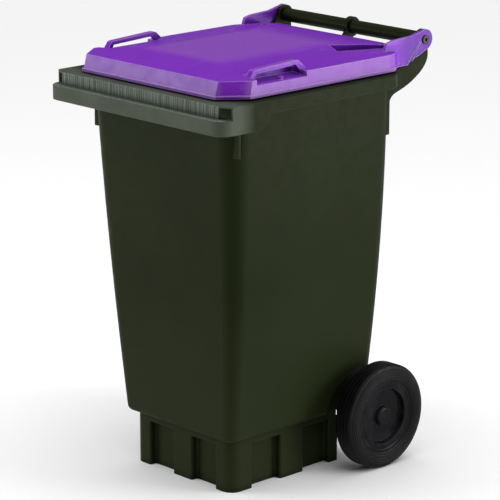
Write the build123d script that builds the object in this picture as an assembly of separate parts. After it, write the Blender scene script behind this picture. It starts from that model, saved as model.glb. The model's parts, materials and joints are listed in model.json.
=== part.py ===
"""Two-wheel refuse bin, about 140 litres.

Row frame: +Z up, X across the bin, the lifting comb faces -Y and the wheels and handle are at +Y.
The origin is on the ground, in the middle of the bin's footprint. Lengths are in millimetres.
"""
from build123d import *
import math
import os

# ---- Driving dimensions ---------------------------------------------------------------------

WALL = 4.0                      # tub wall
RIM_TOP = 858.0                 # deck that carries the lid
RIM_HALF_WIDTH = 267.0
COMB_FACE = -309.2              # ribbed face that the lifting comb grips
LIP_FACE = -327.5               # lower lip, the foremost surface
HINGE_Y = 305.5
HINGE_Z = 908.8
LUG_RADIUS = 21.5

WHEEL_RADIUS = 114.3
WHEEL_X = 235.0                 # middle plane of each wheel
WHEEL_Y = 161.6
TYRE_WIDTH = 49.0
AXLE_RADIUS = 10.0
RUNNING_GAP = 0.08              # radial clearance of a running fit
CLEARANCE = 0.4                 # between parts that move past each other

# The tub is one smooth taper through three levels.
# height, half width, front face, rear face, corner radius
TUB_MOUTH = (RIM_TOP, 223.3, -257.4, 212.0, 44.5)
TUB_WAIST = (430.0, 198.4, -232.5, 211.4, 33.0)
TUB_BASE = (115.0, 168.1, -212.7, 195.4, 24.0)

FOOT_HALF_WIDTH = 152.0
FOOT_FRONT = -195.3
FOOT_REAR = 121.3
FOOT_CORNER = 26.0               # radius of the foot's two front corners
PAD_DEPTH = 16.0                # how far the foot's pads stand out of its recesses
PAD_HEIGHT = 101.0

HANDLE_RADIUS = 15.0
HANDLE_BORE = 8.0
PIN_RADIUS = 7.9                # hinge pin's shank, in the handle's bore

LID_WALL = 3.6
LID_REAR = 240.0
LID_BOTTOM = 861.0
FLANGE_TOP = 867.5              # top of the small step round the foot of the lid's skirt
FLANGE_STEP = 2.5
LID_EDGE = 896.0                # crease between the lid's skirt and its top
LID_CROWN = 912.0               # flat middle of the lid's top
LID_HALF_WIDTH = 246.0          # over the foot of the skirt

# Plan of the lid at one level: half width, front, and how far the corner cut runs along each.
# The crease and the plateau are given over the step, which is taken off them.
LID_FOOT = (LID_HALF_WIDTH, -284.5, 43.0, 56.0)
LID_CREASE = (244.5, -276.5, 41.0, 54.0)
LID_PLATEAU = (94.5, -176.5, 8.0, 10.0)
ARM_OUTER = 218.0
ARM_INNER = 211.0
WEB_OUTER = 210.4
WEB_INNER = 203.0

SIDES = (("left", -1), ("right", 1))
STANDING = (Align.CENTER, Align.CENTER, Align.MIN)      # a cylinder that stands on its position


# ---- Helpers ----------------------------------------------------------------------------------

def block(x0, x1, y0, y1, z0, z1):
    """Box between two corners, given in any order."""
    corner = ((x0 + x1) / 2, (y0 + y1) / 2, (z0 + z1) / 2)
    return Pos(*corner) * Box(abs(x1 - x0), abs(y1 - y0), abs(z1 - z0))


def rod(x0, x1, radius, y=WHEEL_Y, z=WHEEL_RADIUS):
    """Cylinder along X."""
    length = abs(x1 - x0)
    return Pos((x0 + x1) / 2, y, z) * Rot(0, 90, 0) * Cylinder(radius, length)


def side_plate(x0, x1, outline):
    """Plate square to X, from a closed (y, z) outline made of edges."""
    face = make_face(outline)
    return extrude(Pos(min(x0, x1), 0, 0) * face, abs(x1 - x0), dir=(1, 0, 0))


def yz(*points):
    """(y, z) pairs as points in the plane X = 0."""
    return [Vector(0, y, z) for y, z in points]


def closed_polygon(*points):
    """Closed outline of straight edges in the plane X = 0."""
    return Polyline(*yz(*points), close=True)


def mirrored(shape):
    """The shape and its mirror image across the bin's middle plane."""
    return shape + mirror(shape, about=Plane.YZ)


def for_side(shape, side):
    """A shape drawn on the right, on the wanted side."""
    return shape if side > 0 else mirror(shape, about=Plane.YZ)


def level_sketch(level, inset=0.0):
    """Rounded rectangle of the tub at one level, pulled in by inset."""
    height, half_width, front, rear, corner = level
    width = 2 * (half_width - inset)
    depth = rear - front - 2 * inset
    place = Pos(0, (front + rear) / 2, height)
    return place * RectangleRounded(width, depth, max(corner - inset, 5.0))


def tub_level(height):
    """The tub's level at a height above its waist, on the same taper."""
    share = (height - TUB_WAIST[0]) / (TUB_MOUTH[0] - TUB_WAIST[0])
    sizes = [low + share * (high - low) for low, high in zip(TUB_WAIST[1:], TUB_MOUTH[1:])]
    return (height, *sizes)


# ---- Tub --------------------------------------------------------------------------------------

FOOT_TOP = TUB_BASE[0] + 6.0
ARCH_RADIUS = 92.0              # wheel arch in the tub's side, about the axle
TUNNEL_ROOF = 150.0             # underside of the floor over the axle
SKIRT_BOTTOM = 831.0            # lower edge of the rim's side band and of the comb
LIP_BOTTOM = 800.0
DECK = 4.0
EDGE_ROUND = 2.0                # rounding of the rim's outer edges
COMB_HALF_WIDTH = 239.5
BLOCK_FRONT = -295.6            # front edge of the rim's side plates
SWEEP_START = 144.0             # where the side band turns in towards the hinge
BOSS_END = 184.0                # outer end of the tub's axle boss


def tub_outside():
    """Tapered tub with its lower edge rounded in towards the foot."""
    shell = loft([level_sketch(TUB_BASE), level_sketch(TUB_WAIST), level_sketch(TUB_MOUTH)])
    lower_edges = shell.faces().sort_by(Axis.Z)[0].edges()
    return fillet(lower_edges, 13.0)


def foot_outline():
    """Plan of the foot: a rectangle with a recess between each two pads."""
    depth = FOOT_REAR - FOOT_FRONT
    plan = Pos(0, (FOOT_FRONT + FOOT_REAR) / 2) * Rectangle(2 * FOOT_HALF_WIDTH, depth)
    recess_x = FOOT_HALF_WIDTH - PAD_DEPTH / 2
    for side in (-1, 1):
        plan -= Pos(66.0 * side, FOOT_FRONT + PAD_DEPTH / 2) * Rectangle(72.0, PAD_DEPTH)
        plan -= Pos(recess_x * side, -93.5) * Rectangle(PAD_DEPTH, 80.0)
        plan -= Pos(recess_x * side, 55.0) * Rectangle(PAD_DEPTH, 77.0)
    return plan


def foot_plain(inset=0.0):
    """Plan of the foot without its recesses."""
    depth = FOOT_REAR - FOOT_FRONT - 2 * inset
    return Pos(0, (FOOT_FRONT + FOOT_REAR) / 2) * Rectangle(2 * (FOOT_HALF_WIDTH - inset), depth)


def front_corners(solid):
    """The two upright edges at the front corners of the foot."""
    front = solid.edges().filter_by(Axis.Z).group_by(Axis.Y)[0].sort_by(Axis.X)
    return [front[0], front[-1]]


def round_foot(solid, corner, small):
    """Round the front corners of the foot widely and its other upright edges a little."""
    wide = front_corners(solid)
    others = [edge for edge in solid.edges().filter_by(Axis.Z) if edge not in wide]
    solid = fillet(others, small)
    return fillet(front_corners(solid), corner)


def foot_outside():
    """Foot with its pads, closed above the recesses."""
    pads = extrude(foot_outline(), PAD_HEIGHT)
    collar = extrude(Pos(0, 0, PAD_HEIGHT - 1) * foot_plain(), FOOT_TOP - PAD_HEIGHT + 1)
    return round_foot(pads, FOOT_CORNER, 5.0) + round_foot(collar, FOOT_CORNER, 12.0)


def foot_inside():
    """Space in the foot: it follows the pads, so they are hollow too."""
    floor = 6.0
    lower = offset(foot_outline(), -WALL, kind=Kind.INTERSECTION)
    upper = foot_plain(WALL + 8.0)
    space = extrude(Pos(0, 0, floor) * lower, PAD_HEIGHT - WALL - floor)
    space = fillet(front_corners(space), FOOT_CORNER - WALL)
    return space + extrude(Pos(0, 0, PAD_HEIGHT - WALL - 1) * upper, 60.0)


def tub_inside():
    """Everything that is hollow in the tub, above the axle tunnel and clear of the arches."""
    base = (TUB_BASE[0] + WALL, *TUB_BASE[1:])
    mouth = tub_level(RIM_TOP + 20.0)
    space = loft([level_sketch(base, WALL), level_sketch(TUB_WAIST, WALL), level_sketch(mouth, WALL)])
    tunnel = block(-200, 200, FOOT_REAR - WALL, 240, 0, TUNNEL_ROOF + WALL)
    space = space + foot_inside() - tunnel
    for side in (-1, 1):
        arch_wall = (FOOT_HALF_WIDTH - WALL) * side
        space -= rod(arch_wall, 260.0 * side, ARCH_RADIUS + WALL)
    return space


def axle_tunnel():
    """Open channel under the tub's rear, for the axle."""
    inner_x = FOOT_HALF_WIDTH - WALL
    rear = TUB_BASE[3] - WALL
    return block(-inner_x, inner_x, FOOT_REAR + 0.1, rear, 0, TUNNEL_ROOF)


def axle_lugs():
    """Plates across the tunnel and bosses on its cheeks, which hold the axle."""
    lugs = None
    for x in (-50.0, 50.0):
        plate = block(x - 4, x + 4, FOOT_REAR - 1, TUB_BASE[3] - 1, WHEEL_RADIUS - 4, TUNNEL_ROOF + 1)
        plate += rod(x - 4, x + 4, 20.0)
        lugs = plate if lugs is None else lugs + plate
    cheek_bottom = 70.0
    boss = block(FOOT_HALF_WIDTH - WALL, FOOT_HALF_WIDTH, FOOT_REAR - 1, TUB_BASE[3] - WALL,
                 cheek_bottom, TUNNEL_ROOF + 1)
    boss += Pos(FOOT_HALF_WIDTH, WHEEL_Y, WHEEL_RADIUS) * Rot(0, 90, 0) * Cone(
        24.0, 17.0, BOSS_END - FOOT_HALF_WIDTH, align=STANDING)
    for angle in (0, 60, 120, 180):
        rib = Pos(FOOT_HALF_WIDTH + 7, 0, 0) * Box(14, 30, 4)
        turn = Pos(0, WHEEL_Y, WHEEL_RADIUS) * Rot(angle, 0, 0) * Pos(0, 26.0, 0)
        boss += turn * rib
    return lugs + mirrored(boss)


def rim_plan(inset=0.0):
    """Plan of the rim's deck, pulled in by inset: it narrows at the rear to meet the wings."""
    half = RIM_HALF_WIDTH - inset
    front = COMB_FACE + inset
    rear = LID_REAR - inset
    comb_end = COMB_HALF_WIDTH - inset / 2
    block_front = BLOCK_FRONT + inset / 2
    edges = [
        Polyline((0, front), (comb_end, front), (half, block_front), (half, SWEEP_START)),
        Spline((half, SWEEP_START), (WEB_OUTER - inset, rear), tangents=((0, 1), (-0.25, 1))),
        Polyline((WEB_OUTER - inset, rear), (0, rear), (0, front)),
    ]
    return make_face(Curve() + edges)


def rim_layer(low, high, inset=0.0):
    """Slab of the rim's plan between two heights."""
    return mirrored(extrude(Pos(0, 0, low) * rim_plan(inset), high - low))


def rim_band():
    """Upright band round the deck's edge, open at the front corners."""
    outside = rim_layer(SKIRT_BOTTOM, RIM_TOP)
    top_edges = outside.faces().sort_by(Axis.Z)[-1].outer_wire().edges()
    outside = fillet(top_edges, EDGE_ROUND)
    solid = outside - rim_layer(SKIRT_BOTTOM - 1, RIM_TOP - DECK, WALL)
    window = block(COMB_HALF_WIDTH, RIM_HALF_WIDTH + 1, LIP_FACE, BLOCK_FRONT + 1,
                   SKIRT_BOTTOM - 1, RIM_TOP - DECK)
    return solid - mirrored(window)


def front_lip():
    """Deep lower lip in front of the comb, wrapped round the corners to the side plates."""
    corner = 30.0
    depth = 120.0
    height = SKIRT_BOTTOM - LIP_BOTTOM
    front = Pos(0, LIP_FACE + depth / 2, LIP_BOTTOM)
    outer = extrude(front * RectangleRounded(2 * RIM_HALF_WIDTH, depth, corner), height)
    ends = outer.faces().sort_by(Axis.Z)
    outer = fillet(ends[0].edges() + ends[-1].edges(), EDGE_ROUND)
    hollow = front * RectangleRounded(2 * (RIM_HALF_WIDTH - WALL), depth - 2 * WALL, corner - WALL)
    lip = outer - extrude(hollow, height - WALL)
    behind = block(-RIM_HALF_WIDTH - 1, RIM_HALF_WIDTH + 1, BLOCK_FRONT + WALL, 0, 700, 900)
    return lip - behind


def side_block():
    """Deep front end of the rim's side plate; its lower edge curves up to the band."""
    straight_end = -230.0
    block_top = RIM_TOP - 1
    outline = Curve() + [
        Polyline(*yz((-196.0, SKIRT_BOTTOM - 2), (-196.0, block_top), (BLOCK_FRONT, block_top),
                     (BLOCK_FRONT, LIP_BOTTOM), (straight_end, LIP_BOTTOM))),
        TangentArc(*yz((straight_end, LIP_BOTTOM), (-196.0, SKIRT_BOTTOM - 2)), tangent=(0, 1, 0)),
    ]
    return side_plate(RIM_HALF_WIDTH - WALL, RIM_HALF_WIDTH, outline)


def comb_ribs():
    """Fine upright ribs on the comb's face, at uneven spacing."""
    ribs = []
    pitch = 6.4
    drift = 1.1
    height = RIM_TOP - SKIRT_BOTTOM - 5.0
    middle = (SKIRT_BOTTOM + RIM_TOP) / 2
    for index in range(int((COMB_HALF_WIDTH - 6.0) / pitch)):
        x = 4.0 + index * pitch + drift * math.sin(index * 2.3)
        for side in (-1, 1):
            ribs.append(Pos(x * side, COMB_FACE, middle) * Box(2.2, 1.0, height))
    return ribs


def wing_web():
    """Upright plate behind the rim that carries one end of the handle and the hinge."""
    lug_rear = HINGE_Y + LUG_RADIUS
    gusset_foot = 718.0
    gusset_rear = 207.0
    outline = Curve() + [
        Polyline(*yz((186.0, gusset_foot), (gusset_rear, gusset_foot), (gusset_rear, 788.0))),
        Spline(*yz((gusset_rear, 788.0), (236.0, 808.0), (290.0, 832.5), (lug_rear - 5, 872.0)),
               tangents=[(0, 0.25, 1), (0, 0.15, 1)]),
        Polyline(*yz((lug_rear - 5, 872.0), (lug_rear - 5, HINGE_Z), (HINGE_Y - 12, HINGE_Z + 12),
                     (244.0, RIM_TOP), (186.0, RIM_TOP), (186.0, gusset_foot))),
    ]
    return side_plate(WEB_INNER, WEB_OUTER, outline)


def middle_web():
    """Plate that carries the middle of the handle from the tub's rear wall."""
    outline = Curve() + [
        Polyline(*yz((208.0, 770.0), (213.0, 770.0))),
        Spline(*yz((213.0, 770.0), (262.0, 836.0), (HINGE_Y + 6, HINGE_Z - 16)),
               tangents=[(0, 0.05, 1), (0, 0.5, 1)]),
        Polyline(*yz((HINGE_Y + 6, HINGE_Z - 16), (HINGE_Y - 12, HINGE_Z), (250.0, RIM_TOP - 1),
                     (208.0, RIM_TOP - 1), (208.0, 770.0))),
    ]
    return side_plate(-4.0, 4.0, outline)


def gussets():
    """Short upright ribs that brace the rim against the tub's corners."""
    ribs = []
    low = 737.0
    ribs.append(mirrored(block(195.0, 220.5, -238.0, -232.0, low, RIM_TOP - 2)))
    for y in (-130.0, -45.0, 40.0, 120.0):
        ribs.append(mirrored(block(216.0, RIM_HALF_WIDTH - 1, y - 1.5, y + 1.5, 834.0, RIM_TOP - 1)))
    for x in (-160.0, -80.0, 0.0, 80.0, 160.0):
        ribs.append(block(x - 1.5, x + 1.5, LIP_FACE + 1, -250.0, 806.0, SKIRT_BOTTOM - 1))
        ribs.append(block(x - 1.5, x + 1.5, COMB_FACE + 1, -250.0, 830.0, RIM_TOP - 1))
    return ribs


def make_tub():
    solid = tub_outside() + foot_outside()
    for side in (-1, 1):
        solid -= rod(FOOT_HALF_WIDTH * side, 260.0 * side, ARCH_RADIUS)
    solid -= axle_tunnel()
    solid += rim_band()
    solid += front_lip() + mirrored(side_block())
    for rib in gussets():
        solid += rib
    solid += mirrored(wing_web()) + middle_web()
    for x0, x1 in ((WEB_INNER, WEB_OUTER), (-WEB_OUTER, -WEB_INNER), (-5.5, 5.5)):
        solid += rod(x0, x1, LUG_RADIUS, HINGE_Y, HINGE_Z)
    solid += lid_collar()
    solid -= tub_inside()
    solid += axle_lugs()
    solid -= rod(-BOSS_END - 1, BOSS_END + 1, AXLE_RADIUS)
    solid -= rod(-WEB_OUTER - 1, WEB_OUTER + 1, HANDLE_RADIUS, HINGE_Y, HINGE_Z)
    return solid + comb_ribs()


def lid_collar():
    """Bead round the mouth that locates the closed lid; it is open at the rear."""
    height = 10.0
    half_width = 228.0
    front = -268.0
    rear = 178.0
    corner = 56.0
    bead = 3.0
    place = Pos(0, (front + rear) / 2, RIM_TOP - 1)
    outer = place * RectangleRounded(2 * half_width, rear - front, corner)
    inner = place * RectangleRounded(2 * (half_width - bead), rear - front - 2 * bead, corner - bead)
    collar = extrude(outer, height + 1) - extrude(inner, height + 1)
    return collar - block(-half_width, half_width, 120.0, rear + 1, RIM_TOP - 2, RIM_TOP + height + 2)


# ---- Handle, hinge pins and lid -----------------------------------------------------------------

def make_handle():
    """Hollow grip bar, held in the three lugs behind the rim."""
    end = WEB_OUTER
    bar = rod(-end, end, HANDLE_RADIUS, HINGE_Y, HINGE_Z)
    return bar - rod(-end - 1, end + 1, HANDLE_BORE, HINGE_Y, HINGE_Z)


def make_hinge_pin():
    """Hollow pin with a round head outside the lid's arm; its shank sits in the handle's bore."""
    head = ARM_OUTER + CLEARANCE
    pin = rod(150.0, head, PIN_RADIUS, HINGE_Y, HINGE_Z)
    pin += rod(head, head + 2.4, 9.4, HINGE_Y, HINGE_Z)
    pin -= rod(149.0, head + 4, 3.2, HINGE_Y, HINGE_Z)
    slot = block(149.0, 172.0, HINGE_Y - 1, HINGE_Y + 1, HINGE_Z - 12, HINGE_Z + 12)
    return pin - slot


def lid_level(height, plan, inset=0.0):
    """Plan of the lid at one height: corners cut at the front, waisted to the arms at the rear."""
    half, front, cut_across, cut_along = plan
    half -= inset
    front += inset
    arm = min(ARM_OUTER - inset, half)
    rear = LID_REAR - inset
    waist_start = 172.0
    waist_end = 234.0
    right = Curve() + [
        Polyline((0, front), (half - cut_across, front), (half, front + cut_along), (half, waist_start)),
        Spline((half, waist_start), (arm, waist_end), tangents=((0, 1), (0, 1))),
        Polyline((arm, waist_end), (arm, rear), (0, rear)),
    ]
    return Pos(0, 0, height) * make_face(right + mirror(right, about=Plane.YZ))


def lid_body(inset=0.0):
    """Solid block of the lid: skirt with a stepped foot, sloped top and flat plateau."""
    edge = LID_EDGE - inset
    crown = LID_CROWN - inset
    rear_height = 903.0 - inset
    bottom = LID_BOTTOM - inset
    step = inset + FLANGE_STEP
    skirt_foot = lid_level(FLANGE_TOP - inset, LID_FOOT, step)
    crease = lid_level(edge, LID_CREASE, step)
    plateau = lid_level(crown, LID_PLATEAU, step)
    solid = extrude(lid_level(bottom, LID_FOOT, inset), FLANGE_TOP - inset - bottom)
    solid += loft([skirt_foot, crease], ruled=True)
    solid += loft([crease, plateau], ruled=True)
    slope_start = 100.0
    slope = side_plate(-300, 300, closed_polygon((slope_start, crown), (LID_REAR + 1, rear_height),
                                                 (LID_REAR + 1, crown + 5), (slope_start, crown + 5)))
    return solid - slope


SCOOP_FRONT = -208.0
SCOOP_REAR = -69.0
SCOOP_FLOOR = 884.0
SCOOP_INNER = 200.0


def grab_scoop(grow=0.0):
    """Finger space under the right grab handle, cut from the lid's top edge."""
    high = LID_CROWN + 10
    outer = LID_HALF_WIDTH + 1
    outline = [
        (SCOOP_INNER - grow, high), (SCOOP_INNER - grow, SCOOP_FLOOR + 5 - grow),
        (outer, SCOOP_FLOOR - grow), (outer, high),
    ]
    face = make_face(Polyline(*[Vector(x, 0, z) for x, z in outline], close=True))
    length = SCOOP_REAR - SCOOP_FRONT + 2 * grow
    return extrude(Pos(0, SCOOP_FRONT - grow, 0) * face, length, dir=(0, 1, 0))


def valley(grow=0.0):
    """Wedge cut from the top beside the right hinge arm: an upright wall and a floor that rises."""
    start = Vector(122, 114, 0)
    end = Vector(175, 230, 0)
    floor = 893.5
    rise = 9.0
    reach = 46.0
    high = LID_CROWN + 10
    along = (end - start).normalized()
    across = Vector(along.Y, -along.X, 0)
    section = Plane(origin=start - along * grow, x_dir=across, z_dir=-along)
    profile = make_face(Polyline((-grow, floor - grow), (reach, floor + rise - grow), (reach + 30, high),
                                 (-grow, high), close=True))
    return extrude(section * profile, -((end - start).length + 2 * grow))


def grab_bar():
    """Bowed bar that bridges the scoop, with a sloped foot at each end and a stop under it."""
    outer = closed_polygon((SCOOP_FRONT - 4, 891.0), (-198.0, 910.0), (-192.0, 911.5), (-80.0, 917.0),
                           (-74.0, 916.0), (-52.0, 896.0), (SCOOP_REAR + 1, 893.0), (-82.0, 908.5),
                           (-192.0, 903.5), (-199.0, 891.0))
    bar = side_plate(209.0, 223.0, outer)
    long_edges = bar.edges().filter_by(Axis.X)
    bar = fillet(long_edges, 1.5)
    stop = Pos(226.0, -130.0, SCOOP_FLOOR - 1) * Cylinder(7.0, 8.0, align=STANDING)
    return bar + stop


def lid_arm():
    """Hinge arm on the lid's right, with an eye at its end and two ribs outside."""
    outline = closed_polygon((150.0, LID_BOTTOM), (150.0, 893.0), (183.0, 899.0), (189.0, 914.5),
                             (208.0, 918.5), (264.0, 921.5), (HINGE_Y - 2, HINGE_Z + 21.5),
                             (HINGE_Y + 9, HINGE_Z - 19.5), (287.0, 877.0), (263.0, 870.0),
                             (252.0, LID_BOTTOM))
    arm = side_plate(ARM_INNER, ARM_OUTER, outline)
    arm += rod(ARM_INNER, ARM_OUTER, 22.0, HINGE_Y, HINGE_Z)
    for shift in (0.0, 11.0):
        rib = closed_polygon((252.0 + shift, 868.0), (255.0 + shift, 868.0),
                             (289.0 + shift * 0.3, 905.0), (286.0 + shift * 0.3, 905.0))
        arm += side_plate(ARM_OUTER - 0.5, ARM_OUTER + 1.4, rib)
    return arm


def make_lid():
    block_of_lid = lid_body()
    cuts = mirrored(grab_scoop() + valley())
    grown_cuts = mirrored(grab_scoop(LID_WALL) + valley(LID_WALL))
    solid = block_of_lid - cuts - (lid_body(LID_WALL) - grown_cuts)
    for y in (-60.0, 60.0):
        solid += block(-120.0, 120.0, y - 1.2, y + 1.2, 895.0, LID_CROWN) & block_of_lid
    solid += mirrored(lid_arm()) + mirrored(grab_bar())
    solid -= rod(-ARM_OUTER - 3, ARM_OUTER + 3, PIN_RADIUS + RUNNING_GAP, HINGE_Y, HINGE_Z)
    return solid


# ---- Wheels -----------------------------------------------------------------------------------

TYRE_SEAT = 79.0                # radius where the tyre grips the wheel rim
HUB_FACE = 18.0                 # hub ring's face, outboard of the wheel's middle plane
DISH_RADIUS = 60.0
AXLE_END = 245.0
GROOVE_X = 236.0                # middle of the axle's locking groove
GROOVE_WIDTH = 7.0
GROOVE_RADIUS = 7.0
LOCK_RADIUS = 3.0               # locking pin
LOCK_TRAVEL = 3.4
HUB_BOSS = 24.0
BUSH_RADIUS = 13.0


def turned(outline):
    """Solid turned about the axle from a closed (x, radius) outline on the right side."""
    face = make_face(Polyline(*[Vector(x, 0, radius) for x, radius in outline], close=True))
    return Pos(0, WHEEL_Y, WHEEL_RADIUS) * revolve(face, Axis.X)


def make_axle():
    axle = rod(-AXLE_END, AXLE_END, AXLE_RADIUS)
    ends = axle.faces().filter_by(Axis.X).edges()
    axle = chamfer(ends, 1.5)
    for side in (-1, 1):
        near = (GROOVE_X - GROOVE_WIDTH / 2) * side
        far = (GROOVE_X + GROOVE_WIDTH / 2) * side
        ring = rod(near, far, AXLE_RADIUS + 1)
        ring -= rod(near - side, far + side, GROOVE_RADIUS)
        axle -= ring
    return axle


def make_tyre():
    """Solid tyre with round shoulders."""
    half = TYRE_WIDTH / 2
    x = WHEEL_X
    crown = WHEEL_RADIUS
    outline = Curve() + [
        Polyline(Vector(x - half + 4, 0, TYRE_SEAT), Vector(x + half - 4, 0, TYRE_SEAT)),
        Spline(Vector(x + half - 4, 0, TYRE_SEAT), Vector(x + half, 0, 93.0),
               Vector(x + half - 5, 0, crown - 7), Vector(x + half - 14, 0, crown),
               tangents=[(0.5, 0, 1), (-1, 0, 0)]),
        Line(Vector(x + half - 14, 0, crown), Vector(x - half + 14, 0, crown)),
        Spline(Vector(x - half + 14, 0, crown), Vector(x - half + 5, 0, crown - 7), Vector(x - half, 0, 93.0),
               Vector(x - half + 4, 0, TYRE_SEAT), tangents=[(-1, 0, 0), (0.5, 0, -1)]),
    ]
    return Pos(0, WHEEL_Y, WHEEL_RADIUS) * revolve(make_face(outline), Axis.X)


def make_hub():
    """Moulded wheel centre: rim ring, dished web and a boss for the axle, with ribs inside."""
    x = WHEEL_X
    face = x + HUB_FACE
    web_out = x + 8.0
    web_in = x + 3.0
    boss_in = BOSS_END + 4.0
    profile = turned([
        (x - 19, TYRE_SEAT), (x - 19, TYRE_SEAT - 5), (web_in, TYRE_SEAT - 8), (web_in, HUB_BOSS),
        (boss_in, HUB_BOSS - 4), (boss_in, BUSH_RADIUS), (web_out + 6, BUSH_RADIUS),
        (web_out + 6, HUB_BOSS - 4), (web_out, HUB_BOSS - 2), (web_out, DISH_RADIUS - 3),
        (face, DISH_RADIUS + 1), (face, TYRE_SEAT - 6), (x + 19, TYRE_SEAT - 4), (x + 19, TYRE_SEAT),
    ])
    for index in range(8):
        rib = block(x - 16, web_in + 1, HUB_BOSS - 3, TYRE_SEAT - 6, -1.6, 1.6)
        profile += Pos(0, WHEEL_Y, WHEEL_RADIUS) * Rot(index * 45 + 22.5, 0, 0) * rib
    channel = Pos(GROOVE_X, WHEEL_Y, WHEEL_RADIUS) * Cylinder(
        LOCK_RADIUS + 1.2, HUB_BOSS - 1.5, align=STANDING)
    return profile - channel


def make_bush():
    """Nylon sleeve in the hub, inboard of the locking pin."""
    bush = rod(BOSS_END + 4.0, GROOVE_X - GROOVE_WIDTH, BUSH_RADIUS)
    return bush - rod(BOSS_END, GROOVE_X, AXLE_RADIUS + RUNNING_GAP)


def make_washer():
    """Loose washer between the tub's axle boss and the wheel."""
    washer = rod(BOSS_END + CLEARANCE, BOSS_END + 3.4, 18.0)
    return washer - rod(BOSS_END, BOSS_END + 5, AXLE_RADIUS + RUNNING_GAP)


def make_lock_pin():
    """Radial pin that snaps into the axle's groove."""
    low = WHEEL_RADIUS + GROOVE_RADIUS + CLEARANCE
    pin = Pos(GROOVE_X, WHEEL_Y, low) * Cylinder(LOCK_RADIUS, 7.0, align=STANDING)
    flange = Pos(GROOVE_X, WHEEL_Y, low + 4.0) * Cylinder(
        LOCK_RADIUS + 0.9, 1.5, align=STANDING)
    return pin + flange


def make_lock_spring():
    """Coil spring that holds the locking pin in the groove."""
    bottom = WHEEL_RADIUS + GROOVE_RADIUS + CLEARANCE + 5.8
    wire = 0.45
    height = HUB_BOSS - 3.0 - (GROOVE_RADIUS + CLEARANCE + 5.8) - 1.0
    path = Helix(pitch=height / 4, height=height, radius=LOCK_RADIUS + 0.55)
    section = Plane(origin=path @ 0, z_dir=path % 0) * Circle(wire)
    coil = sweep(section, path=path)
    return Pos(GROOVE_X, WHEEL_Y, bottom + wire) * coil


def make_cap():
    """Round cap pressed over the hub's outer end."""
    seat = WHEEL_X + 14.0
    cap = turned([(seat, 0), (seat, HUB_BOSS - 4.5), (seat + 2.5, HUB_BOSS - 5.0),
                  (seat + 4.0, HUB_BOSS - 9.0), (seat + 4.4, 0)])
    return cap + rod(seat - 5.0, seat, BUSH_RADIUS) - rod(seat - 6.0, seat - 1.0, BUSH_RADIUS - 2.0)


# ---- Output -----------------------------------------------------------------------------------

def main():
    os.makedirs("parts", exist_ok=True)
    nodes = {"bin_body": make_tub(), "handle_bar": make_handle(), "lid": make_lid(), "axle": make_axle()}
    paired = {
        "lid_hinge_pin": make_hinge_pin(), "tyre": make_tyre(), "wheel_hub": make_hub(),
        "wheel_bush": make_bush(), "axle_washer": make_washer(), "lock_pin": make_lock_pin(),
        "lock_spring": make_lock_spring(), "hub_cap": make_cap(),
    }
    for name, shape in paired.items():
        for side_name, side in SIDES:
            nodes[f"{name}_{side_name}"] = for_side(shape, side)
    for name, shape in nodes.items():
        export_step(shape, f"parts/{name}.step")


main()
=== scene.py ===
"""Looks of the two-wheel refuse bin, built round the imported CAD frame.

Metres, +Z up. The comb rim faces -Y, and the wheels and the handle are at +Y.
"""
import json
import math

import bmesh
import bpy
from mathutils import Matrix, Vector


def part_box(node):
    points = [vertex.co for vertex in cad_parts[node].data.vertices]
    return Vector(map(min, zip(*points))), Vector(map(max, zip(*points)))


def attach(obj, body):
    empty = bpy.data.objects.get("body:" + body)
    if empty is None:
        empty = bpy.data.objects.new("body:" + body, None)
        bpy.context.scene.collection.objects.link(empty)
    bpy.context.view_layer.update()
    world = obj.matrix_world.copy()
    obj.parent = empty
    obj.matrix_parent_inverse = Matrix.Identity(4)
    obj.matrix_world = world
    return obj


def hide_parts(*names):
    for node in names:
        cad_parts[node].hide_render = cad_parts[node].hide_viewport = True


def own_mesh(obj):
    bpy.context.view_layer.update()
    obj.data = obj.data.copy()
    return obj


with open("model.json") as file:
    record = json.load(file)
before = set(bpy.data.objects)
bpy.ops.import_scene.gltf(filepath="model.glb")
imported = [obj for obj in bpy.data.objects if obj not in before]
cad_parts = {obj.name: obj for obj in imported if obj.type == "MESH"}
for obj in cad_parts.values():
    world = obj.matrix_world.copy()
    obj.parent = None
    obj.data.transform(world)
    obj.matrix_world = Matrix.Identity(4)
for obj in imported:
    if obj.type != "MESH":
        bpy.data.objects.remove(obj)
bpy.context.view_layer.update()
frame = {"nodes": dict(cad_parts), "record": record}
nodes = frame["nodes"]

# ---- Camera -------------------------------------------------------------------------------------

CAMERA_AZIMUTH = math.radians(46.51)
CAMERA_ELEVATION = math.radians(15.08)
CAMERA_DISTANCE = 5.601
SENSOR = 36.0
LENS = 189.0
AIM_RIGHT = 0.0021
AIM_UP = 0.0129
AIM_HEIGHT = 0.45


def add_camera():
    """Long lens, looking down on the front right corner."""
    a = CAMERA_AZIMUTH
    e = CAMERA_ELEVATION
    back = Vector((math.sin(a) * math.cos(e), -math.cos(a) * math.cos(e), math.sin(e)))
    right = Vector((math.cos(a), math.sin(a), 0.0))
    up = back.cross(right)
    target = Vector((0, 0, AIM_HEIGHT)) + right * AIM_RIGHT + up * AIM_UP
    data = bpy.data.cameras.new("camera")
    data.lens = LENS
    data.sensor_width = SENSOR
    data.clip_end = 50.0
    camera = bpy.data.objects.new("camera", data)
    bpy.context.scene.collection.objects.link(camera)
    camera.location = target + back * CAMERA_DISTANCE
    camera.rotation_mode = "QUATERNION"
    camera.rotation_quaternion = (-back).to_track_quat("-Z", "Y")
    bpy.context.scene.camera = camera


add_camera()


# ---- Stage --------------------------------------------------------------------------------------

SKY_STRENGTH = 2.6
SKY_SPREAD = math.radians(80)       # how wide the sky light is, so how soft its shadows are
WORLD_STRENGTH = 0.12
FLOOR_HALF = 16.0
FLOOR_SHADE = (0.93, 0.93, 0.93, 1.0)
FLOOR_ROUGHNESS = 0.8


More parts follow.
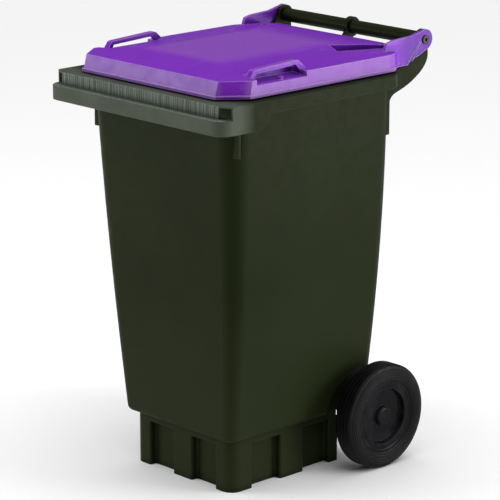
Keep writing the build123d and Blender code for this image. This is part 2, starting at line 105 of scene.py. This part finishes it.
def softbox(name, place, aim, size, power):
    """Rectangular area light that faces the point aim."""
    data = bpy.data.lights.new(name, "AREA")
    data.shape = "RECTANGLE"
    data.size = size[0]
    data.size_y = size[1]
    data.energy = power
    lamp = bpy.data.objects.new(name, data)
    lamp.location = place
    lamp.rotation_mode = "QUATERNION"
    lamp.rotation_quaternion = (Vector(aim) - Vector(place)).to_track_quat("-Z", "Y")
    bpy.context.scene.collection.objects.link(lamp)


def skylight():
    """Very soft light from straight above, the same all over the floor."""
    data = bpy.data.lights.new("skylight", "SUN")
    data.energy = SKY_STRENGTH
    data.angle = SKY_SPREAD
    lamp = bpy.data.objects.new("skylight", data)
    bpy.context.scene.collection.objects.link(lamp)


def add_floor():
    """Wide matt floor under the bin."""
    mesh = bpy.data.meshes.new("floor")
    half = FLOOR_HALF
    corners = [(-half, -half, 0), (half, -half, 0), (half, half, 0), (-half, half, 0)]
    mesh.from_pydata(corners, [], [(0, 1, 2, 3)])
    floor = bpy.data.objects.new("floor", mesh)
    bpy.context.scene.collection.objects.link(floor)
    material = bpy.data.materials.new("pale_floor")
    material.use_nodes = True
    shader = material.node_tree.nodes["Principled BSDF"]
    shader.inputs["Base Color"].default_value = FLOOR_SHADE
    shader.inputs["Roughness"].default_value = FLOOR_ROUGHNESS
    shader.inputs["Specular IOR Level"].default_value = 0.0
    mesh.materials.append(material)


def add_stage():
    """Pale floor, soft top light, and a softbox for each visible side of the bin."""
    world = bpy.data.worlds.new("studio")
    bpy.context.scene.world = world
    world.use_nodes = True
    background = world.node_tree.nodes["Background"]
    background.inputs["Color"].default_value = (1.0, 1.0, 1.0, 1.0)
    background.inputs["Strength"].default_value = WORLD_STRENGTH
    add_floor()
    skylight()
    softbox("front_box", place=(-2.3, -2.5, 1.3), aim=(0, 0, 0.6), size=(1.6, 1.4), power=52)
    softbox("side_box", place=(2.8, 2.0, 0.9), aim=(0, 0, 0.5), size=(1.6, 1.6), power=78)
    bpy.context.scene.view_settings.view_transform = "Standard"


add_stage()


# ---- Material helpers ---------------------------------------------------------------------------

DISPLAY_GAMMA = 2.2


def linear(red, green, blue):
    """Display colour, 0 to 255, as a linear colour."""
    return tuple((part / 255.0) ** DISPLAY_GAMMA for part in (red, green, blue)) + (1.0,)


# Colour of the shade painted into hollows.
CREVICE_SHADE = (0.002, 0.002, 0.002, 1.0)
EDGE_STARTS = 0.995                 # how alike the flat and rounded normals are where an edge begins
EDGE_FULL = 0.80                    # and where it is full


class Plastic:
    """Node tree of a moulded material, built up feature by feature."""

    def __init__(self, name, colour, roughness, specular):
        self.material = bpy.data.materials.new(name)
        self.material.use_nodes = True
        self.tree = self.material.node_tree
        self.shader = self.tree.nodes["Principled BSDF"]
        self.shader.inputs["Specular IOR Level"].default_value = specular
        self.place = self.node("ShaderNodeTexCoord").outputs["Object"]
        self.shader.inputs["Base Color"].default_value = colour
        self.shader.inputs["Roughness"].default_value = roughness
        base = self.node("ShaderNodeRGB")
        base.outputs[0].default_value = colour
        self.colour = base.outputs[0]
        self.roughness = roughness
        self.height = None
        self.rounded = None

    def node(self, kind, **settings):
        """New node of a kind, with its settings."""
        made = self.tree.nodes.new(kind)
        for key, value in settings.items():
            setattr(made, key, value)
        return made

    def link(self, out, socket):
        """Connect an output to an input socket."""
        self.tree.links.new(out, socket)

    def noise(self, scale, detail=4.0, stretch=(1.0, 1.0, 1.0)):
        """Noise over the object, 0 to 1; stretch scales it along each axis."""
        mapping = self.node("ShaderNodeMapping")
        mapping.inputs["Scale"].default_value = stretch
        self.link(self.place, mapping.inputs["Vector"])
        texture = self.node("ShaderNodeTexNoise")
        texture.inputs["Scale"].default_value = scale
        texture.inputs["Detail"].default_value = detail
        self.link(mapping.outputs["Vector"], texture.inputs["Vector"])
        return texture.outputs["Fac"]

    def remap(self, value, low, high, to_low=0.0, to_high=1.0):
        """Stretch the range low to high over to_low to to_high, held at both ends."""
        step = self.node("ShaderNodeMapRange")
        step.inputs["From Min"].default_value = low
        step.inputs["From Max"].default_value = high
        step.inputs["To Min"].default_value = to_low
        step.inputs["To Max"].default_value = to_high
        self.link(value, step.inputs["Value"])
        return step.outputs["Result"]

    def times(self, first, second):
        """Product of two values."""
        product = self.node("ShaderNodeMath", operation="MULTIPLY")
        self.link(first, product.inputs[0])
        self.link(second, product.inputs[1])
        return product.outputs[0]

    def above(self, axis, low, high):
        """Mask that rises from 0 to 1 along one axis of the object; falls if high is below low."""
        split = self.node("ShaderNodeSeparateXYZ")
        self.link(self.place, split.inputs[0])
        return self.remap(split.outputs[axis], low, high)

    def tint(self, mask, colour):
        """Blend towards a colour where the mask is 1."""
        mix = self.node("ShaderNodeMix", data_type="RGBA")
        self.link(mask, mix.inputs["Factor"])
        self.link(self.colour, mix.inputs[6])
        mix.inputs[7].default_value = colour
        self.colour = mix.outputs[2]

    def bump(self, value, depth):
        """Add relief: value times depth, in metres."""
        scaled = self.node("ShaderNodeMath", operation="MULTIPLY")
        self.link(value, scaled.inputs[0])
        scaled.inputs[1].default_value = depth
        if self.height is None:
            self.height = scaled.outputs[0]
            return
        total = self.node("ShaderNodeMath", operation="ADD")
        self.link(self.height, total.inputs[0])
        self.link(scaled.outputs[0], total.inputs[1])
        self.height = total.outputs[0]

    def edges(self, radius):
        """Rounded normal near sharp edges, and a mask that is 1 on them."""
        bevel = self.node("ShaderNodeBevel", samples=6)
        bevel.inputs["Radius"].default_value = radius
        flat = self.node("ShaderNodeNewGeometry")
        match = self.node("ShaderNodeVectorMath", operation="DOT_PRODUCT")
        self.link(bevel.outputs[0], match.inputs[0])
        self.link(flat.outputs["Normal"], match.inputs[1])
        self.rounded = bevel.outputs[0]
        return self.remap(match.outputs["Value"], EDGE_STARTS, EDGE_FULL)

    def paint_crevice_shade(self, reach, depth=1.0):
        """Paint shade into hollows and inside corners narrower than reach."""
        shade = self.node("ShaderNodeAmbientOcclusion", samples=8)
        shade.inputs["Distance"].default_value = reach
        self.tint(self.remap(shade.outputs["AO"], 0.85, 0.35, 0.0, depth), CREVICE_SHADE)

    def finish(self, spread=0.08):
        """Join colour, roughness and relief to the shader."""
        self.link(self.colour, self.shader.inputs["Base Color"])
        wear = self.noise(45.0, 6.0)
        low = max(self.roughness - spread, 0.05)
        self.link(self.remap(wear, 0.3, 0.7, low, self.roughness + spread), self.shader.inputs["Roughness"])
        relief = self.node("ShaderNodeBump")
        relief.inputs["Strength"].default_value = 1.0
        relief.inputs["Distance"].default_value = 1.0
        self.link(self.height, relief.inputs["Height"])
        self.link(self.rounded, relief.inputs["Normal"])
        self.link(relief.outputs["Normal"], self.shader.inputs["Normal"])
        return self.material


# ---- Materials ----------------------------------------------------------------------------------

# Places where the colour of a moulding changes, for its own colour or for painted light and shade, as (mask
# 0, mask 1) along one axis.
RIM_BAND = (0.796, 0.800)           # Z: the lifting rim starts
RIM_FRONT = (-0.235, -0.275)        # Y: its paler front
COMB_RIBS = (0.8305, 0.8310)        # Z: the ribs start over the lip
COMB_FACE = (-0.3085, -0.3090)      # Y: the ribs' front
TUB_SHADE = (0.45, 0.0)             # Z: the tub turns paler towards the ground
PLATEAU_REFLECTION_BAND = (0.9075, 0.9119)      # Z: the raised middle of the lid, painted greyer as a reflection
SKIRT_REFLECTION_BAND = (0.8965, 0.8955)        # Z: the lid's sides, under its upper edge, painted as a reflection
FRONT_SKIRT_REFLECTION = (-0.268, -0.276)        # Y: the front skirt, painted greyer as a reflection
RIGHT_SKIRT_REFLECTION = (0.232, 0.240)           # X: the right skirt only, painted paler as a reflection
ARMS_PAINTED_SHADE = (0.215, 0.250)           # Y: the hinge arms and the lid's rear edge, painted darker as shade


def tub_green():
    """Dark olive polyethylene; the lifting rim is paler, in streaks on the comb. Pale edges are painted
    highlight, partly edge wear, and hollows are painted shade.
    """
    look = Plastic("tub_green", linear(31, 37, 18), 0.46, 0.05)
    look.tint(look.remap(look.noise(3.2, 5.0), 0.35, 0.75, 0.0, 0.55), linear(42, 49, 27))
    look.tint(look.above("Z", *TUB_SHADE), linear(42, 47, 30))
    rim = look.times(look.above("Z", *RIM_BAND), look.above("Y", *RIM_FRONT))
    rim_patches = look.remap(look.noise(12.0, 5.0), 0.3, 0.7, 0.6, 1.0)
    look.tint(look.times(rim, rim_patches), linear(82, 87, 77))
    comb = look.times(look.above("Z", *COMB_RIBS), look.above("Y", *COMB_FACE))
    streaks = look.remap(look.noise(1.0, 6.0, (210.0, 210.0, 5.0)), 0.35, 0.62, 0.1, 1.0)
    look.tint(look.times(comb, streaks), linear(116, 124, 118))
    # Painted shade in hollows and inside corners.
    look.paint_crevice_shade(0.020, 0.9)
    # Pale edges: painted highlight, partly edge wear.
    edge = look.edges(0.0022)
    look.tint(look.remap(edge, 0.0, 1.0, 0.0, 0.45), linear(96, 104, 80))
    look.bump(look.noise(520.0, 3.0), 0.00012)
    look.bump(look.noise(9.0, 3.0), 0.0009)
    return look.finish()


def lid_purple():
    """Purple polyethylene: greyer plateau and skirt as painted reflection, darker arms as painted shade,
    pale lines on the edges as painted highlight, and hollows darkened as painted shade.
    """
    look = Plastic("lid_purple", linear(118, 40, 182), 0.34, 0.16)
    look.tint(look.remap(look.noise(4.0, 5.0), 0.35, 0.75, 0.0, 0.5), linear(130, 52, 192))
    # Painted reflection: the plateau greyer.
    look.tint(look.above("Z", *PLATEAU_REFLECTION_BAND), linear(134, 72, 184))
    # Painted reflection: the front skirt greyer and the right skirt paler.
    skirt = look.above("Z", *SKIRT_REFLECTION_BAND)
    look.tint(look.times(skirt, look.above("Y", *FRONT_SKIRT_REFLECTION)), linear(122, 74, 166))
    look.tint(look.times(skirt, look.above("X", *RIGHT_SKIRT_REFLECTION)), linear(140, 84, 182))
    scuffs = look.remap(look.noise(1.0, 8.0, (60.0, 9.0, 30.0)), 0.60, 0.78, 0.0, 0.3)
    look.tint(scuffs, linear(150, 96, 202))
    # Painted shade: the hinge arms and the rear edge darker.
    look.tint(look.above("Y", *ARMS_PAINTED_SHADE), linear(98, 34, 156))
    # Painted shade in hollows and inside corners.
    look.paint_crevice_shade(0.022, 0.6)
    # Painted highlight: pale lines along the rounded edges.
    edge = look.edges(0.0028)
    look.tint(look.remap(edge, 0.0, 0.8, 0.0, 0.7), linear(216, 186, 242))
    look.bump(look.noise(480.0, 3.0), 0.00010)
    look.bump(look.noise(8.0, 3.0), 0.0007)
    return look.finish()


def plain_plastic(name, colour, wear_and_highlight, roughness, specular):
    """Small moulded parts, with random wear and pale edges; the pale edges are painted highlight, partly
    edge wear.
    """
    look = Plastic(name, colour, roughness, specular)
    look.tint(look.remap(look.noise(20.0, 5.0), 0.45, 0.80, 0.0, 0.3), wear_and_highlight)
    # Pale edges: painted highlight, partly edge wear, in the same colour as the wear.
    edge = look.edges(0.0016)
    look.tint(look.remap(edge, 0.0, 1.0, 0.0, 0.8), wear_and_highlight)
    look.bump(look.noise(700.0, 2.0), 0.00008)
    return look.finish()


def tyre_rubber():
    """Black rubber with patchy dust; its slightly paler edges are painted highlight."""
    look = Plastic("tyre_rubber", linear(12, 12, 13), 0.5, 0.12)
    dust = look.remap(look.noise(26.0, 7.0), 0.45, 0.75, 0.0, 0.7)
    look.tint(dust, linear(20, 20, 20))
    # Painted shade in hollows and inside corners.
    look.paint_crevice_shade(0.010, 0.7)
    # Paler edges: painted highlight.
    edge = look.edges(0.0008)
    look.tint(look.remap(edge, 0.0, 1.0, 0.0, 0.3), linear(62, 61, 60))
    look.bump(look.noise(420.0, 4.0), 0.00022)
    return look.finish(0.10)


def zinc_steel():
    """Zinc-plated steel, with drawing marks along X."""
    look = Plastic("zinc_steel", linear(168, 170, 174), 0.34, 0.5)
    look.shader.inputs["Metallic"].default_value = 1.0
    drawn = look.remap(look.noise(1.0, 5.0, (12.0, 300.0, 300.0)), 0.4, 0.7, 0.0, 0.6)
    look.tint(drawn, linear(132, 134, 138))
    look.edges(0.0006)
    look.bump(look.noise(1.0, 4.0, (40.0, 900.0, 900.0)), 0.00004)
    return look.finish(0.12)


STEEL = zinc_steel()
SLOTS = {
    "tub_plastic": tub_green(),
    "lid_plastic": lid_purple(),
    "black_plastic": plain_plastic("black_plastic", linear(18, 18, 19), linear(40, 40, 42), 0.4, 0.3),
    "tyre_rubber": tyre_rubber(),
    "wheel_plastic": plain_plastic("wheel_plastic", linear(13, 12, 15), linear(60, 58, 62), 0.3, 0.07),
    "nylon": plain_plastic("nylon", linear(203, 200, 188), linear(222, 219, 208), 0.42, 0.4),
    "axle_steel": STEEL,
    "spring_steel": STEEL,
}

for part in frame["record"]["subparts"]:
    node = nodes[part["node"]]
    node.data.materials.clear()
    node.data.materials.append(SLOTS[part["material_slot"]])


# ---- Wheels -------------------------------------------------------------------------------------

tyre_low, tyre_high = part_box("tyre_right")
WHEEL_X = 0.235
WHEEL_Y = (tyre_low.y + tyre_high.y) / 2
WHEEL_Z = (tyre_low.z + tyre_high.z) / 2
TYRE_CROWN = (tyre_high.z - tyre_low.z) / 2
TYRE_SEAT = 0.0792                  # radius where the tyre sits on the hub
TYRE_SHOULDER = 0.1062              # radius where the side wall turns into the tread
TYRE_HALF = 0.0245                  # half of the tyre's width
TREAD_HALF = 0.0150                 # half of the flat tread
RING_RADII = (0.0835, 0.0885, 0.0935, 0.0985, 0.1030)
RING_SIZE = 0.00075                 # height and half width of a moulded ring
WALL_INSET = 0.0008                 # keeps the rings inside the tyre's full width
BULGE_DROP = 0.0038                 # how far the side wall falls back, 15 mm from its fullest radius
BULGE_RADIUS = 0.0950
BULGE_REACH = 0.0150
GROOVE_PLACES = (0.0100, 0.0)       # grooves in the tread, across from its middle
GROOVE_HALF = 0.0016
GROOVE_DEPTH = 0.0012
GROOVE_FOOT = 0.6                   # width of a groove's bottom, as a share of its top


def lathe(name, profile, side, slot, body, segments=144, sharp=math.radians(32)):
    """Ring turned about the wheel's axis from a closed (x, radius) profile, x outboard."""
    grid = bmesh.new()
    rings = []
    for index in range(segments):
        angle = 2 * math.pi * index / segments
        ring = []
        for x, radius in profile:
            point = (side * x, radius * math.cos(angle), radius * math.sin(angle))
            ring.append(grid.verts.new(point))
        rings.append(ring)
    count = len(profile)
    for index in range(segments):
        ring = rings[index]
        after = rings[(index + 1) % segments]
        for step in range(count):
            ahead = (step + 1) % count
            face = grid.faces.new((ring[step], ring[ahead], after[ahead], after[step]))
            face.smooth = True
    bmesh.ops.recalc_face_normals(grid, faces=grid.faces)
    for edge in grid.edges:
        edge.smooth = edge.calc_face_angle(0.0) < sharp
    mesh = bpy.data.meshes.new(name)
    grid.to_mesh(mesh)
    grid.free()
    mesh.materials.append(SLOTS[slot])
    piece = bpy.data.objects.new(name, mesh)
    piece.location = (side * WHEEL_X, WHEEL_Y, WHEEL_Z)
    bpy.context.scene.collection.objects.link(piece)
    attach(piece, body)
    return piece


def sidewall(radius):
    """Half width of the tyre at a radius, with fine rings moulded round it."""
    bulge = BULGE_DROP * ((radius - BULGE_RADIUS) / BULGE_REACH) ** 2
    rings = 0.0
    for centre in RING_RADII:
        rings += RING_SIZE * math.exp(-((radius - centre) / RING_SIZE) ** 2)
    return TYRE_HALF - WALL_INSET - bulge + rings


def tyre_profile():
    """Half of the section from bead to crown, then its mirror image."""
    half = []
    wall_steps = 64
    for index in range(wall_steps + 1):
        radius = TYRE_SEAT + (TYRE_SHOULDER - TYRE_SEAT) * index / wall_steps
        half.append((sidewall(radius), radius))
    shoulder = sidewall(TYRE_SHOULDER)
    turn_steps = 8
    for index in range(1, turn_steps + 1):
        angle = math.pi / 2 * index / turn_steps
        x = TREAD_HALF + (shoulder - TREAD_HALF) * math.cos(angle)
        half.append((x, TYRE_SHOULDER + (TYRE_CROWN - TYRE_SHOULDER) * math.sin(angle)))
    foot = GROOVE_HALF * GROOVE_FOOT
    groove = ((GROOVE_HALF, 0.0), (foot, GROOVE_DEPTH), (-foot, GROOVE_DEPTH), (-GROOVE_HALF, 0.0))
    for centre in GROOVE_PLACES:
        for x, drop in groove:
            if centre + x > 0.0:
                half.append((centre + x, TYRE_CROWN - drop))
    return half + [(-x, radius) for x, radius in reversed(half)]


def add_wheels():
    """Ribbed tyres in place of the plain ones."""
    for name, side in (("left", -1), ("right", 1)):
        tyre = lathe(f"ribbed_tyre_{name}", tyre_profile(), side, "tyre_rubber", f"wheel_{name}")
        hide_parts(f"tyre_{name}")


add_wheels()


# ---- Lock springs -------------------------------------------------------------------------------

LOCK_X = 0.236
WIRE_RADIUS = 0.00043
COIL_RADIUS = 0.00355               # of the wire's middle line
COIL_LOW = 0.12785                  # height of the wire's lower end
COIL_HEIGHT = 0.0069
COIL_TURNS = 4
STEPS_PER_TURN = 28
WIRE_SIDES = 10


def coil(name, side):
    """Coil spring over a locking pin, as a round wire wound up the pin's axis."""
    steps = COIL_TURNS * STEPS_PER_TURN
    grid = bmesh.new()
    rings = []
    for index in range(steps + 1):
        turn = 2 * math.pi * COIL_TURNS * index / steps
        outward = Vector((math.cos(turn), math.sin(turn), 0.0))
        centre = outward * COIL_RADIUS + Vector((0, 0, COIL_HEIGHT * index / steps))
        ring = []
        for spoke in range(WIRE_SIDES):
            angle = 2 * math.pi * spoke / WIRE_SIDES
            offset = outward * math.cos(angle) + Vector((0, 0, math.sin(angle)))
            ring.append(grid.verts.new(centre + offset * WIRE_RADIUS))
        rings.append(ring)
    for ring, after in zip(rings, rings[1:]):
        for spoke in range(WIRE_SIDES):
            ahead = (spoke + 1) % WIRE_SIDES
            face = grid.faces.new((ring[spoke], ring[ahead], after[ahead], after[spoke]))
            face.smooth = True
    grid.faces.new(rings[0])
    grid.faces.new(rings[-1])
    bmesh.ops.recalc_face_normals(grid, faces=grid.faces)
    mesh = bpy.data.meshes.new(name)
    grid.to_mesh(mesh)
    grid.free()
    mesh.materials.append(STEEL)
    piece = bpy.data.objects.new(name, mesh)
    piece.location = (side * LOCK_X, WHEEL_Y, COIL_LOW)
    bpy.context.scene.collection.objects.link(piece)
    return piece


def add_lock_springs():
    """Coil springs on the locking pins, in place of the plain ones; they keep one length and do not shorten
    as the pins are drawn out of the axle's grooves.
    """
    for name, side in (("left", -1), ("right", 1)):
        spring = coil(f"lock_coil_{name}", side)
        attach(spring, f"wheel_{name}")
        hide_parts(f"lock_spring_{name}")
        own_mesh(spring)


add_lock_springs()
